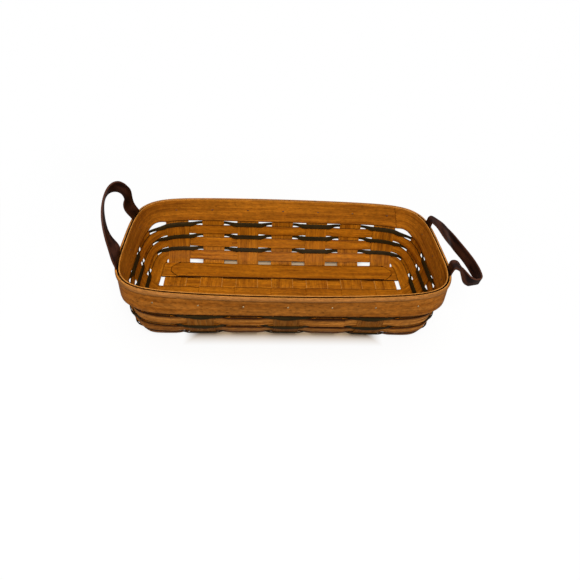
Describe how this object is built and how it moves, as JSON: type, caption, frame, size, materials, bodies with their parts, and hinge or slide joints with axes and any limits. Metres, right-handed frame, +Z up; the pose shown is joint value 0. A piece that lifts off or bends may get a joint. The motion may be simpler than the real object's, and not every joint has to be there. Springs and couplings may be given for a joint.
{
  "type": "woven bread basket",
  "caption": "Flared oblong bread basket of woven wood splints with dark green accent weavers, a banded rim with half round trim, and a leather loop handle at each end.",
  "frame": {"origin": "underside of the woven floor at the basket's centre, on the plane it stands on", "axes": "+X along the basket towards the lowered handle, +Y to the back wall, +Z up"},
  "size_m": [0.4166, 0.192, 0.1464],
  "materials": {
    "natural_splint": "stained maple splint, satin",
    "dark_green_splint": "dark green dyed maple splint, satin",
    "rim_wood": "stained maple band, satin",
    "trim_wood": "stained half round strip, satin",
    "tack_brass": "small domed tacks",
    "strap_leather": "dark brown strap leather, waxed"
  },
  "bodies": {
    "basket": {"cross_splint_1": "natural_splint", "cross_splint_2": "natural_splint", "cross_splint_3": "natural_splint", "cross_splint_4": "natural_splint", "cross_splint_5": "natural_splint", "cross_splint_6": "natural_splint", "cross_splint_7": "natural_splint", "long_splint_front": "natural_splint", "long_splint_middle": "natural_splint", "long_splint_back": "natural_splint", "floor_filler_front": "natural_splint", "floor_filler_back": "natural_splint", "floor_runner_front": "natural_splint", "floor_runner_back": "natural_splint", "natural_weaver_1": "natural_splint", "natural_weaver_2": "natural_splint", "natural_weaver_3": "natural_splint", "accent_weaver_1": "dark_green_splint", "accent_weaver_2": "dark_green_splint", "accent_weaver_3": "dark_green_splint", "inner_band": "rim_wood", "outer_band": "rim_wood", "rim_trim": "trim_wood", "tack_front_1": "tack_brass", "tack_front_2": "tack_brass", "tack_front_3": "tack_brass", "tack_front_4": "tack_brass", "tack_front_5": "tack_brass", "tack_front_6": "tack_brass", "tack_front_7": "tack_brass", "tack_back_1": "tack_brass", "tack_back_2": "tack_brass", "tack_back_3": "tack_brass", "tack_back_4": "tack_brass", "tack_back_5": "tack_brass", "tack_back_6": "tack_brass", "tack_back_7": "tack_brass", "tack_left_1": "tack_brass", "tack_left_2": "tack_brass", "tack_left_3": "tack_brass", "tack_right_1": "tack_brass", "tack_right_2": "tack_brass", "tack_right_3": "tack_brass", "left_strap_end_front": "strap_leather", "left_strap_end_back": "strap_leather", "right_strap_end_front": "strap_leather", "right_strap_end_back": "strap_leather"},
    "left_handle": {"left_handle_loop": "strap_leather"},
    "right_handle": {"right_handle_loop": "strap_leather"}
  },
  "joints": [
    {"name": "left_handle_swing", "type": "hinge", "parent": "basket", "child": "left_handle", "pos_m": [-0.181, 0, 0.0909], "axis": [0, -1, 0], "range_deg": [-65, 75]},
    {"name": "right_handle_swing", "type": "hinge", "parent": "basket", "child": "right_handle", "pos_m": [0.181, 0, 0.0909], "axis": [0, -1, 0], "range_deg": [0, 110]}
  ]
}
